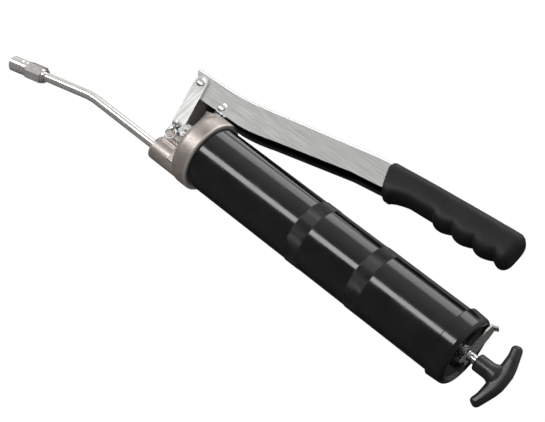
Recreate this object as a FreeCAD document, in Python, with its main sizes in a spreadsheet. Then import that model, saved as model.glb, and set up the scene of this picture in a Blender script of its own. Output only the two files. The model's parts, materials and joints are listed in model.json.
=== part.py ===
import FreeCAD, Part
import math
import os
import re
import Sketcher

# A lever grease gun for standard 400 g cartridges, in millimetres.
# +X runs along the barrel towards the T-handle, +Z towards the lever, and the origin is
# on the barrel's axis, midway between the two knurled bands where a clip holds it.

V = FreeCAD.Vector
ALONG_X = FreeCAD.Rotation()
ALONG_Y = FreeCAD.Rotation(V(0, 0, 1), 90)
ALONG_Z = FreeCAD.Rotation(V(0, 1, 0), -90)
TO_NEAR_SIDE = FreeCAD.Rotation(V(0, 0, 1), -90)

doc = FreeCAD.newDocument("grease_gun")
sheet = doc.addObject("Spreadsheet::Sheet", "Dims")

DIMENSIONS = [
    # barrel and its two end pieces
    ("barrel_radius", 28.2, "outside radius at the front, over a 53.5 mm cartridge"),
    ("barrel_step", 0.35, "how much each of the three sections grows towards the back"),
    ("barrel_bore", 26.9, "inside radius"),
    ("band_centre", 32.0, "distance of each knurled band from the origin"),
    ("band_width", 14.5, "width of a knurled band"),
    ("collar_x", -148.0, "back rim of the head's collar"),
    ("collar_length", 15.0, "length of the collar outside"),
    ("collar_radius", 32.3, "outside radius of the collar"),
    ("socket_depth", 13.0, "depth of the collar's thread"),
    ("gasket_thickness", 2.0, "ring between barrel and head"),
    ("fit", 0.05, "radial clearance of threads, pins and sliding shafts"),
    ("cap_x", 110.0, "front rim of the back cap"),
    ("cap_length", 16.0, "straight part of the back cap"),
    ("cap_radius", 31.0, "outside radius of the back cap at its rim"),
    ("cap_wall", 1.6, "sheet thickness of the back cap"),
    ("cap_recess", 3.0, "depth of the recess in the cap's end"),
    # pump head
    ("pump_x", -169.0, "axis of the pump bore"),
    ("pump_top", 28.0, "top of the pump boss"),
    ("pump_boss_radius", 11.0, "outside radius of the pump boss"),
    ("plunger_radius", 4.75, "pump plunger"),
    ("outlet_z", -21.3, "height of the outlet passage"),
    ("outlet_face_x", -193.0, "front face of the outlet boss"),
    ("outlet_radius", 10.6, "outside radius of the outlet boss"),
    ("lug_half", 9.8, "half the width of the lug between the link bars"),
    # linkage
    ("link_x", -186.0, "link's pivot on the head, X"),
    ("link_z", 0.5, "link's pivot on the head, Z"),
    ("lever_x", -199.0, "lever's pivot on the link, X"),
    ("lever_z", 43.5, "lever's pivot on the link, Z"),
    ("drive_z", 37.5, "plunger pin, Z, straight above the pump bore"),
    ("pin_radius", 3.0, "shank of the three link pins"),
    ("pin_head_radius", 4.2, "domed pin heads"),
    ("bar_width", 12.2, "width of a link bar"),
    ("bar_thickness", 2.4, "thickness of a link bar"),
    ("channel_half", 10.0, "half the width of the lever channel"),
    ("channel_sheet", 1.8, "sheet thickness of the lever"),
    ("bar_gap", 0.3, "gap between a link bar and the lever's side"),
    ("slot_play", 1.8, "how far the plunger pin can shift in the plunger's slotted eye"),
    # lever and grip
    ("grip_start_x", -20.0, "front of the rubber grip"),
    ("grip_end_x", 107.4, "back of the rubber grip"),
    ("grip_half", 13.2, "half the width of the grip"),
    ("lever_end_x", 97.0, "back end of the channel inside the grip"),
    # spout and coupler
    ("spout_radius", 4.0, "outside radius of the spout pipe"),
    ("spout_bore", 2.0, "inside radius of the spout pipe"),
    ("spout_bend_x", -274.5, "where the two straight runs of the spout would meet"),
    ("spout_bend_radius", 60.0, "radius of the spout's bend"),
    ("spout_angle", 13.4, "how far the spout's end dips, degrees"),
    ("spout_reach", 66.0, "from the bend's corner to the pipe's end"),
    ("coupler_start", 50.0, "from the bend's corner to the back of the coupler"),
    ("coupler_hex", 7.0, "half the width across flats of the coupler's hexagon"),
    ("coupler_hex_length", 15.5, "length of the hexagon"),
    ("coupler_radius", 6.7, "outside radius of the coupler's sleeve"),
    ("coupler_sleeve_length", 18.5, "length of the sleeve"),
    ("mouth_radius", 3.4, "opening between the jaws"),
    # rod, follower and handle
    ("rod_radius", 4.0, "follower rod"),
    ("rod_front_x", -144.0, "front end of the rod with the handle pushed in"),
    ("rod_back_x", 152.0, "back end of the rod inside the handle"),
    ("follower_x", -134.0, "front of the follower"),
    ("stem_x", 136.0, "front of the T-handle's stem"),
    ("stem_radius", 7.2, "stem of the T-handle"),
    ("handle_x", 165.6, "back of the T-handle"),
    ("handle_reach", 28.0, "half the span of the T-handle"),
    ("handle_half", 5.4, "half the depth of the T-handle's arms"),
    ("handle_turn", 7.0, "how far the T-handle is turned on the rod's axis, degrees"),
    # latch
    ("latch_x", 127.4, "front face of the rod latch plate"),
    ("latch_thickness", 1.5, "latch plate"),
    ("latch_low_z", -10.0, "lower edge of the latch plate, where it tilts"),
    ("latch_top_z", 31.0, "tip of the latch's thumb tab"),
    ("bleed_x", -174.0, "axis of the bleed valve, X"),
    ("bleed_hex", 5.2, "half the width across flats of the bleed valve"),
    ("eye_drop", 5.2, "from the link pin's axis to the eye under its ball end"),
    ("ring_radius", 4.7, "middle of the wire of the link pin's ring"),
    ("ring_wire", 0.7, "radius of that wire"),
    ("ring_lean", 20.0, "how far the ring hangs off the plumb line, degrees"),
]
for row, (alias, value, note) in enumerate(DIMENSIONS, start=1):
    sheet.set(f"A{row}", alias)
    sheet.set(f"B{row}", str(value))
    sheet.setAlias(f"B{row}", alias)
    sheet.set(f"C{row}", note)
doc.recompute()

WORD = re.compile(r"[a-z]\w*")
ALIASES = {alias for alias, _, _ in DIMENSIONS}
CHECK_BALL = 2.5
LEVER_ROUNDING = 3.0
HANDLE_ROUNDING = 3.2
FOLLOWER_WIRE = 1.1
FOLLOWER_TURNS = 10
JAWS = 4
JAW_GAP = 8.0
subparts = []


def cell(expression):
    """Value of an expression in the sheet's words, such as 'cap_x + cap_length'."""
    return float(sheet.evalExpression(expression))


def bound(expression):
    """The same expression as another object has to write it."""
    def named(found):
        return "Dims." + found.group() if found.group() in ALIASES else found.group()
    return WORD.sub(named, expression)


def body(label, x="0", y="0", z="0", turn=ALONG_X):
    """A PartDesign body at a place that the sheet gives."""
    made = doc.addObject("PartDesign::Body", label)
    made.Label = label
    made.Placement = FreeCAD.Placement(V(cell(x), cell(y), cell(z)), turn)
    for axis, expression in (("x", x), ("y", y), ("z", z)):
        made.setExpression("Placement.Base." + axis, bound(expression))
    subparts.append(made)
    return made


def sketch(owner, role, name, lift):
    """An empty sketch parallel to one of the body's own origin planes."""
    plane = next(o for o in owner.Origin.OriginFeatures if o.Role == role)
    made = owner.newObject("Sketcher::SketchObject", name)
    made.AttachmentSupport = [(plane, "")]
    made.MapMode = "FlatFace"
    made.setExpression("AttachmentOffset.Base.z", bound(lift))
    return made


def fix_point(made, geometry, end, across, up, point):
    """Hold one end of a line or arc at the place that two expressions give."""
    axes = (("DistanceX", across, point.x, -2), ("DistanceY", up, point.y, -1))
    for kind, expression, value, line in axes:
        if expression == "0":
            made.addConstraint(Sketcher.Constraint("PointOnObject", geometry, end, line))
            continue
        number = made.addConstraint(Sketcher.Constraint(kind, -1, 1, geometry, end, value))
        made.setExpression(f"Constraints[{number}]", bound(expression))


def outline(owner, role, name, points, lift="0"):
    """A closed outline. A point is a pair of expressions; a third entry bulges the edge
    that follows it: an arc of that radius, to the left of the way if it is positive."""
    made = sketch(owner, role, name, lift)
    corners = [V(cell(point[0]), cell(point[1]), 0) for point in points]
    ends = []
    for number, point in enumerate(points):
        first, last = corners[number], corners[(number + 1) % len(corners)]
        if len(point) == 2:
            made.addGeometry(Part.LineSegment(first, last), False)
            ends.append((1, 2))
            continue
        radius = cell(point[2])
        chord = last - first
        left = V(-chord.y, chord.x, 0).normalize()
        inward = math.sqrt(max(0.0, radius ** 2 - chord.Length ** 2 / 4))
        centre = (first + last) * 0.5 - left * math.copysign(inward, radius)
        begin, finish = (last, first) if radius > 0 else (first, last)
        from_angle = math.atan2(begin.y - centre.y, begin.x - centre.x)
        to_angle = math.atan2(finish.y - centre.y, finish.x - centre.x)
        if to_angle < from_angle:
            to_angle += 2 * math.pi
        whole = Part.Circle(centre, V(0, 0, 1), abs(radius))
        made.addGeometry(Part.ArcOfCircle(whole, from_angle, to_angle), False)
        ends.append((2, 1) if radius > 0 else (1, 2))
        limit = made.addConstraint(Sketcher.Constraint("Radius", number, abs(radius)))
        made.setExpression(f"Constraints[{limit}]", "abs(" + bound(point[2]) + ")")
    for number in range(len(points)):
        after = (number + 1) % len(points)
        made.addConstraint(Sketcher.Constraint("Coincident", number, ends[number][1],
                                               after, ends[after][0]))
    for number, point in enumerate(points):
        fix_point(made, number, ends[number][0], point[0], point[1], corners[number])
    return made


def circle(owner, role, name, across, up, radius, lift="0"):
    """A circle whose centre and radius are expressions."""
    made = sketch(owner, role, name, lift)
    centre = V(cell(across), cell(up), 0)
    made.addGeometry(Part.Circle(centre, V(0, 0, 1), cell(radius)), False)
    number = made.addConstraint(Sketcher.Constraint("Radius", 0, cell(radius)))
    made.setExpression(f"Constraints[{number}]", bound(radius))
    if across == "0" and up == "0":
        made.addConstraint(Sketcher.Constraint("Coincident", 0, 3, -1, 1))
    else:
        fix_point(made, 0, 3, across, up, centre)
    return made


def settled(feature):
    """Recompute and stop at once if the feature did not build."""
    doc.recompute()
    if "Invalid" in feature.State or feature.Shape.isNull() or not feature.Shape.isValid():
        raise RuntimeError(f"{feature.Label} does not build: {feature.State}")
    return feature


def turned(owner, name, points, kind="PartDesign::Revolution", axis="H_Axis"):
    """Revolve an outline in the body's XZ plane about its X axis, or groove it out."""
    profile = outline(owner, "XZ_Plane", name + "_profile", points)
    made = owner.newObject(kind, name)
    made.Profile = profile
    made.ReferenceAxis = (profile, [axis])
    made.Angle = 360
    return settled(made)


def grown(owner, name, profile, length, both_ways=False, backwards=False,
          kind="PartDesign::Pad"):
    """Pad or pocket a sketch; both_ways splits the length about the sketch's plane."""
    made = owner.newObject(kind, name)
    made.Profile = profile
    made.SideType = "Symmetric" if both_ways else "One side"
    made.Reversed = backwards
    made.setExpression("Length", bound(length))
    return settled(made)


def cut(owner, name, profile, length, both_ways=False, backwards=False):
    """A pocket that has to take something away."""
    before = owner.Shape.Volume
    made = grown(owner, name, profile, length, both_ways, backwards, "PartDesign::Pocket")
    if owner.Shape.Volume > before - 0.01:
        raise RuntimeError(f"{name} cuts nothing from {owner.Label}")
    return made


def edges_where(feature, test):
    """Names of the feature's edges for which a test is true."""
    found = []
    for number, edge in enumerate(feature.Shape.Edges, start=1):
        if test(edge):
            found.append(f"Edge{number}")
    return found


def softened(owner, name, feature, test, radius, kind="PartDesign::Fillet"):
    """Round or chamfer the edges that a test picks."""
    made = owner.newObject(kind, name)
    made.Base = (feature, edges_where(feature, test))
    setattr(made, "Radius" if kind.endswith("Fillet") else "Size", radius)
    return settled(made)


def solid_feature(label, shape, place=None):
    """A sub-part whose shape no standard feature makes simply."""
    made = doc.addObject("Part::Feature", label)
    made.Label = label
    made.Shape = shape
    if place is not None:
        made.Placement = place.multiply(shape.Placement)
    subparts.append(made)
    return made


def coil(wire, radius, length, turns):
    """A round-wire compression spring that fills the given length along +X."""
    free = length - 2 * wire
    helix = Part.makeHelix(free / turns, free, radius)
    section = Part.Wire(Part.makeCircle(wire, V(radius, 0, 0), V(0, 1, 0)))
    made = Part.Wire(helix.Edges).makePipeShell([section], True, True)
    made.rotate(V(0, 0, 0), V(0, 1, 0), 90)
    made.translate(V(wire, 0, 0))
    return made


# ---------------------------------------------------------------- pump head

def ring(inner, outer, back, front):
    """Outline of a plain ring about the X axis."""
    return [(back, inner), (front, inner), (front, outer), (back, outer)]


def hexagon(owner, role, name, half_flat, lift="0"):
    """A hexagon about the origin with two corners on the upright axis."""
    corner = half_flat + " / cos(30)"
    side = "-1 * " + half_flat
    low = "-1 * " + corner
    return outline(owner, role, name, [
        ("0", corner), (side, corner + " / 2"), (side, low + " / 2"),
        ("0", low), (half_flat, low + " / 2"), (half_flat, corner + " / 2")], lift)


def make_pump_head():
    """Die-cast head: threaded collar, shoulder, upright pump boss, outlet boss and the
    lug that carries the link."""
    head = body("pump_head")
    shoulder = "collar_x - collar_length"
    floor = "collar_x - socket_depth"
    turned(head, "collar", [
        (floor + " + 1", "0"),
        (floor + " + 1", "barrel_radius"),
        ("collar_x", "barrel_radius"),
        ("collar_x", "collar_radius - 1.2"),
        ("collar_x - 1.2", "collar_radius"),
        (shoulder + " + 3", "collar_radius", "-7.5"),
        (shoulder + " - 3.5", "collar_radius - 5.3"),
        (shoulder + " - 5.6", "14"),
        (shoulder + " - 9", "10"),
        (shoulder + " - 13", "8"),
        (shoulder + " - 13", "0"),
    ])
    pump = circle(head, "XY_Plane", "pump_circle", "pump_x", "0", "pump_boss_radius",
                  lift="pump_top")
    grown(head, "pump_boss", pump, "pump_top - outlet_z + 5", backwards=True)
    outlet = circle(head, "YZ_Plane", "outlet_circle", "0", "outlet_z", "outlet_radius",
                    lift="outlet_face_x")
    grown(head, "outlet_boss", outlet, "collar_x - socket_depth - outlet_face_x")
    lug = outline(head, "XZ_Plane", "lug_profile", [
        ("outlet_face_x + 4", "outlet_z + 4"),
        ("link_x + 18", "outlet_z + 4"),
        ("link_x + 18", "link_z + 12"),
        ("link_x + 8", "link_z + 8.6"),
        ("link_x", "link_z + 8.2", "8.2"),
        ("link_x - 8.2", "link_z"),
    ])
    grown(head, "lug", lug, "2 * lug_half", both_ways=True)
    seat = circle(head, "XZ_Plane", "bleed_seat_circle", "bleed_x", "link_z", "5")
    grown(head, "bleed_seat", seat, "lug_half + 3.2")
    rib = outline(head, "XZ_Plane", "rib_profile", [
        ("outlet_face_x + 8", "outlet_z + 8.4"),
        ("outlet_face_x + 26", "outlet_z + 8.4"),
        ("outlet_face_x + 26", "outlet_z + 11.4"),
        ("outlet_face_x + 8", "outlet_z + 11.4"),
    ])
    grown(head, "side_rib", rib, "2 * lug_half + 2.4", both_ways=True)

    turned(head, "socket", ring("0", "barrel_radius + fit", floor, "collar_x + 1"),
           "PartDesign::Groove")
    face = circle(head, "XY_Plane", "spot_face_circle", "pump_x", "0", "7.95",
                  lift="pump_top + 12")
    cut(head, "spot_face", face, "12")
    bore = circle(head, "XY_Plane", "pump_bore_circle", "pump_x", "0",
                  "plunger_radius + fit", lift="pump_top")
    cut(head, "pump_bore", bore, "pump_top - outlet_z + 2")
    gland = circle(head, "XY_Plane", "gland_circle", "pump_x", "0", "7 + fit",
                   lift="pump_top")
    cut(head, "gland_seat", gland, "7")
    passage = circle(head, "YZ_Plane", "passage_circle", "0", "outlet_z", "1.6",
                     lift="pump_x")
    cut(head, "outlet_passage", passage, "pump_x - outlet_face_x", backwards=False)
    chamber = circle(head, "YZ_Plane", "chamber_circle", "0", "outlet_z", "3.2",
                     lift="outlet_face_x")
    cut(head, "valve_chamber", chamber, "17", backwards=True)
    socket = circle(head, "YZ_Plane", "spout_socket_circle", "0", "outlet_z",
                    "spout_radius", lift="outlet_face_x")
    cut(head, "spout_socket", socket, "8", backwards=True)
    port = circle(head, "YZ_Plane", "port_circle", "0", "-4", "3",
                  lift="collar_x - socket_depth")
    cut(head, "grease_port", port, "collar_x - socket_depth - pump_x")
    pin = circle(head, "XZ_Plane", "link_pin_circle", "link_x", "link_z", "pin_radius")
    cut(head, "link_pin_hole", pin, "2 * lug_half + 8", both_ways=True)
    rest = circle(head, "XZ_Plane", "bleed_rest_circle", "bleed_x", "link_z",
                  "bleed_hex / cos(30) + 0.4", lift="lug_half + 3.2")
    cut(head, "bleed_rest", rest, "6", backwards=True)
    bleed = circle(head, "XZ_Plane", "bleed_circle", "bleed_x", "link_z", "3",
                   lift="lug_half + 3.2")
    cut(head, "bleed_hole", bleed, "7.2")
    return head


def make_gasket():
    gasket = body("head_gasket")
    floor = "collar_x - socket_depth"
    turned(gasket, "gasket", ring("barrel_bore - 2", "barrel_radius - 0.2", floor,
                                  floor + " + gasket_thickness"))


def make_plunger_gland():
    """Threaded packing nut that the plunger slides through."""
    gland = body("plunger_gland", x="pump_x")
    turned(gland, "gland", [
        ("plunger_radius + fit", "pump_top - 7"),
        ("7", "pump_top - 7"),
        ("7", "pump_top"),
        ("7.8", "pump_top"),
        ("7.8", "pump_top + 1.6"),
        ("7.2", "pump_top + 2.2"),
        ("plunger_radius + fit", "pump_top + 2.2"),
    ], axis="V_Axis")


def make_plunger():
    """Pump plunger whose flat head has a slotted eye for the plunger pin."""
    plunger = body("pump_plunger", x="pump_x")
    turned(plunger, "shank", [
        ("0", "-16"), ("plunger_radius - 0.5", "-16"), ("plunger_radius", "-15.5"),
        ("plunger_radius", "drive_z - 4"), ("0", "drive_z - 4")], axis="V_Axis")
    reach = "pin_radius + slot_play + 2.2"
    eye = outline(plunger, "XZ_Plane", "eye_profile", [
        ("-1 * plunger_radius", "drive_z - 6.4"),
        ("plunger_radius", "drive_z - 6.4"),
        (reach, "drive_z - 3"),
        (reach, "drive_z + 3", "-4"),
        ("0 + " + reach + " - 4", "drive_z + 6"),
        ("-1 * (" + reach + ") + 4", "drive_z + 6", "-4"),
        ("-1 * (" + reach + ")", "drive_z + 3"),
        ("-1 * (" + reach + ")", "drive_z - 3"),
    ])
    grown(plunger, "eye", eye, "8", both_ways=True)
    half = "pin_radius + 0.4"
    slot = outline(plunger, "XZ_Plane", "slot_profile", [
        ("-1 * slot_play", "drive_z - (" + half + ")"),
        ("slot_play", "drive_z - (" + half + ")", "-1 * (" + half + ")"),
        ("slot_play", "drive_z + " + half),
        ("-1 * slot_play", "drive_z + " + half, "-1 * (" + half + ")"),
    ])
    cut(plunger, "slot", slot, "20", both_ways=True)


def domed_pin(label, x, z, half_length):
    """A riveted pin across the gun with a low dome on each end."""
    pin = body(label, x=x, z=z, turn=ALONG_Y)
    low = "-1 * (" + half_length + ")"
    turned(pin, "pin", [
        (low + " - 1.5", "0"),
        (low + " - 1.5", "1.2", "6"),
        (low, "pin_head_radius"),
        (low, "pin_radius"),
        (half_length, "pin_radius"),
        (half_length, "pin_head_radius", "6"),
        (half_length + " + 1.5", "1.2"),
        (half_length + " + 1.5", "0"),
    ])


def make_link_pin():
    """Pin through the head's lug: a domed head on the far side, a ball end on the near
    side with a small eye under it for the ring."""
    lean = math.radians(cell("ring_lean"))
    turn = FreeCAD.Rotation(V(0, -1, 0), V(math.cos(lean), 0, math.sin(lean)),
                            V(-math.sin(lean), 0, math.cos(lean)), "XYZ")
    pin = body("link_pin", x="link_x", z="link_z", turn=turn)
    side = "channel_half + bar_gap + bar_thickness + 0.1"
    turned(pin, "shank", [
        ("-1 * (" + side + ") - 1.6", "0"),
        ("-1 * (" + side + ") - 1.6", "1.2", "6"),
        ("-1 * (" + side + ")", "pin_head_radius"),
        ("-1 * (" + side + ")", "pin_radius"),
        (side, "pin_radius"),
        (side, "pin_radius + 1"),
        (side + " + 1", "pin_radius + 1"),
        (side + " + 1", "1.9"),
        (side + " + 2.2", "1.9", "3.3"),
        (side + " + 7.4", "0.9"),
        (side + " + 7.4", "0"),
    ])
    tab = circle(pin, "XZ_Plane", "eye_circle", side + " + 4.6", "-1 * eye_drop", "2.7")
    grown(pin, "eye", tab, "1.2", both_ways=True)
    hole = circle(pin, "XZ_Plane", "eye_hole_circle", side + " + 4.6", "-1 * eye_drop",
                  "1.4")
    cut(pin, "eye_hole", hole, "3", both_ways=True)


def make_pin_ring():
    """Wire ring that hangs in the eye of the link pin."""
    ring_body = body("link_pin_ring")
    torus = ring_body.newObject("PartDesign::AdditiveTorus", "wire")
    torus.setExpression("Radius1", bound("ring_radius"))
    torus.setExpression("Radius2", bound("ring_wire"))
    lean = math.radians(cell("ring_lean"))
    drop = cell("eye_drop + ring_radius")
    centre = V(cell("link_x") + drop * math.sin(lean),
               -cell("channel_half + bar_gap + bar_thickness + 0.1") - 4.6,
               cell("link_z") - drop * math.cos(lean))
    torus.Placement = FreeCAD.Placement(centre, FreeCAD.Rotation(V(0, 0, 1), V(0, 1, 0)))
    settled(torus)


def make_bleed_valve():
    """Hexagonal bleed valve on the head's near side and the button that opens it."""
    valve = body("bleed_valve", x="bleed_x", y="-1 * (lug_half + 3.2)", z="link_z",
                 turn=TO_NEAR_SIDE)
    turned(valve, "stem", ring("1.25", "3", "-7", "0.1"))
    grown(valve, "hex", hexagon(valve, "YZ_Plane", "hex_profile", "bleed_hex"), "5.2")
    turned(valve, "nose", ring("2", "4", "5.1", "6.4"))
    hole = circle(valve, "YZ_Plane", "button_hole", "0", "0", "1.25", lift="5.2")
    cut(valve, "button_way", hole, "13", both_ways=True)
    button = body("bleed_button", x="bleed_x", y="-1 * (lug_half + 3.2)", z="link_z",
                  turn=TO_NEAR_SIDE)
    turned(button, "button", [
        ("-4", "0"), ("-4", "1.2"), ("6.6", "1.2"), ("6.6", "1.8"),
        ("8.3", "1.8", "1"), ("8.7", "1.4"), ("8.7", "0")])


def make_check_valve():
    """Ball and spring that keep the grease from flowing back into the pump."""
    ball = body("check_ball", x="outlet_face_x + 15", z="outlet_z")
    sphere = ball.newObject("PartDesign::AdditiveSphere", "sphere")
    sphere.Radius = CHECK_BALL
    settled(sphere)
    spring = coil(0.35, 2.3, 3.9, 3)
    solid_feature("check_spring", spring, FreeCAD.Placement(
        V(cell("outlet_face_x") + 8, 0, cell("outlet_z")), ALONG_X))


def link_bar(label, side):
    """One flat bar of the link, from the head's lug up to the lever's pivot."""
    y = "channel_half + bar_gap + bar_thickness / 2"
    bar = body(label, y=y if side > 0 else "-1 * (" + y + ")")
    dx, dz = cell("lever_x - link_x"), cell("lever_z - link_z")
    length = math.hypot(dx, dz)
    half = "bar_width / 2"
    across_x, across_z = dz / length, -dx / length
    points = []
    for x, z, way in (("link_x", "link_z", -1), ("link_x", "link_z", 1),
                      ("lever_x", "lever_z", 1), ("lever_x", "lever_z", -1)):
        points.append((f"{x} + {way * across_x:.6f} * {half}",
                       f"{z} + {way * across_z:.6f} * {half}"))
    points[0] += ("-1 * " + half,)
    points[2] += ("-1 * " + half,)
    profile = outline(bar, "XZ_Plane", "bar_profile", points)
    grown(bar, "bar", profile, "bar_thickness", both_ways=True)
    low = circle(bar, "XZ_Plane", "link_hole_circle", "link_x", "link_z", "pin_radius + fit")
    cut(bar, "link_hole", low, "bar_thickness * 2", both_ways=True)
    high = circle(bar, "XZ_Plane", "lever_hole_circle", "lever_x", "lever_z", "pin_radius")
    cut(bar, "lever_hole", high, "bar_thickness * 2", both_ways=True)


LEVER_TOP = [
    ("lever_x - 14", "lever_z + 10.2"),
    ("lever_x + 27", "lever_z + 11.9", "-186"),
    ("lever_x + 59", "lever_z + 16.7"),
    ("lever_x + 159", "lever_z + 39.1", "190"),
    ("lever_x + 181", "lever_z + 42.8"),
    ("lever_end_x", "lever_z + 52.6"),
]
LEVER_BOTTOM = [
    ("lever_end_x", "lever_z + 35"),
    ("lever_x + 204", "lever_z + 27.5"),
    ("lever_x + 184", "lever_z + 19.6"),
    ("lever_x + 156", "lever_z + 15"),
    ("lever_x + 84", "lever_z - 3.4", "151"),
    ("lever_x + 53", "lever_z - 10.1"),
    ("lever_x + 12", "lever_z - 11.5", "4"),
    ("lever_x + 8", "lever_z - 9.6"),
    ("lever_x - 3.6", "lever_z - 4.6", "6.4"),
    ("lever_x - 6.6", "lever_z + 1.6"),
]


def lowered(points, drop):
    """The same points moved down by an expression."""
    return [(point[0], f"{point[1]} - {drop}") + tuple(point[2:]) for point in points]


def make_lever():
    """Pressed steel channel, open downwards, with rounded upper edges."""
    lever = body("lever_channel")
    profile = outline(lever, "XZ_Plane", "lever_profile", LEVER_TOP + LEVER_BOTTOM)
    solid = grown(lever, "blank", profile, "2 * channel_half", both_ways=True)
    ridge = {(round(cell(p[0]), 3), round(cell(p[1]), 3)) for p in LEVER_TOP}

    def on_ridge(edge):
        ends = [(round(v.X, 3), round(v.Z, 3)) for v in edge.Vertexes]
        return len(set(ends)) == 2 and all(end in ridge for end in ends)

    softened(lever, "rounded_back", solid, on_ridge, LEVER_ROUNDING)
    hollow = [("lever_x - 24", "lever_z - 60"), ("lever_x - 24", "lever_z + 9.8 - channel_sheet")]
    hollow += lowered(LEVER_TOP[1:5], "channel_sheet")
    hollow += [("lever_end_x + 2", "lever_z + 52.8 - channel_sheet"),
               ("lever_end_x + 2", "lever_z - 60")]
    inside = outline(lever, "XZ_Plane", "hollow_profile", hollow)
    cut(lever, "hollow", inside, "2 * (channel_half - channel_sheet)", both_ways=True)
    for name, x, z, radius in (("lever_pin_hole", "lever_x", "lever_z", "pin_radius + fit"),
                               ("plunger_pin_hole", "pump_x", "drive_z", "pin_radius")):
        hole = circle(lever, "XZ_Plane", name + "_circle", x, z, radius)
        cut(lever, name, hole, "2 * channel_half + 2", both_ways=True)


def make_grip():
    """Moulded rubber grip with a finger guard and three finger grooves."""
    grip = body("lever_grip")
    profile = outline(grip, "XZ_Plane", "grip_profile", [
        ("grip_start_x", "90.4"),
        ("grip_end_x - 14", "102", "13"),
        ("grip_end_x", "93"),
        ("grip_end_x + 0.6", "78", "10"),
        ("grip_end_x - 6", "68.8", "-22"),
        ("grip_end_x - 26.6", "67.4", "-18"),
        ("grip_end_x - 45.8", "66.3", "-18"),
        ("grip_end_x - 66", "65.2"),
        ("grip_end_x - 73.6", "68.3"),
        ("grip_start_x + 29.6", "67"),
        ("grip_start_x + 10.2", "58.7", "3"),
        ("grip_start_x + 4.4", "59.6"),
        ("grip_start_x - 0.4", "82"),
    ])
    solid = grown(grip, "blank", profile, "2 * grip_half", both_ways=True)

    def along_the_top(edge):
        box = edge.BoundBox
        return box.XLength > 50 and box.ZMin > 85 and box.YLength < 0.01

    softened(grip, "rounded", solid, along_the_top, 8)
    cavity = outline(grip, "XZ_Plane", "cavity_profile", [
        ("grip_start_x - 20", "lever_z + 39"),
        ("lever_x + 159", "lever_z + 39.1", "190"),
        ("lever_x + 181", "lever_z + 42.8"),
        ("lever_end_x", "lever_z + 52.6"),
        ("lever_end_x", "lever_z + 35"),
        ("lever_x + 204", "lever_z + 27.5"),
        ("lever_x + 184", "lever_z + 19.6"),
        ("lever_x + 156", "lever_z + 15"),
    ])
    cut(grip, "cavity", cavity, "2 * channel_half", both_ways=True)


# ---------------------------------------------------------------- spout and coupler

def spout_direction():
    angle = math.radians(cell("spout_angle"))
    return V(-math.cos(angle), 0, -math.sin(angle))


def spout_run(name, radius, overlap):
    """Both straight runs and the bend of the spout, as one solid of one radius."""
    half_turn = math.tan(math.radians(cell("spout_angle") / 2))
    tangent = cell("spout_bend_radius") * half_turn
    corner = V(cell("spout_bend_x"), 0, cell("outlet_z"))
    first = doc.addObject("Part::Cylinder", name + "_straight")
    first.setExpression("Radius", bound(radius))
    start = cell("outlet_face_x") + 8 + overlap
    first.Height = start - corner.x - tangent
    first.Placement = FreeCAD.Placement(V(start, 0, corner.z),
                                        FreeCAD.Rotation(V(0, 0, 1), V(-1, 0, 0)))
    bend = doc.addObject("Part::Torus", name + "_bend")
    bend.setExpression("Radius1", bound("spout_bend_radius"))
    bend.setExpression("Radius2", bound(radius))
    bend.setExpression("Angle3", bound("spout_angle"))
    bend.Placement = FreeCAD.Placement(
        V(corner.x + tangent, 0, corner.z - cell("spout_bend_radius")),
        FreeCAD.Rotation(V(0, 0, 1), V(-1, 0, 0), V(0, -1, 0), "ZXY"))
    last = doc.addObject("Part::Cylinder", name + "_end")
    last.setExpression("Radius", bound(radius))
    last.Height = cell("spout_reach") - tangent + overlap
    last.Placement = FreeCAD.Placement(corner + spout_direction() * tangent,
                                       FreeCAD.Rotation(V(0, 0, 1), spout_direction()))
    run = doc.addObject("Part::MultiFuse", name)
    run.Shapes = [first, bend, last]
    return run


def make_spout():
    """Rigid steel spout with one bend, bored through."""
    outside = spout_run("spout_outside", "spout_radius", 0)
    inside = spout_run("spout_inside", "spout_bore", 1)
    pipe = doc.addObject("Part::Cut", "spout_pipe")
    pipe.Label = "spout_pipe"
    pipe.Base = outside
    pipe.Tool = inside
    subparts.append(pipe)


def coupler_body(label):
    """A body on the coupler's axis: +X points out of the mouth."""
    turn = FreeCAD.Rotation(V(1, 0, 0), spout_direction())
    start = "coupler_start"
    return body(label, x=f"spout_bend_x - ({start}) * cos(spout_angle)",
                z=f"outlet_z - ({start}) * sin(spout_angle)", turn=turn)


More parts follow.
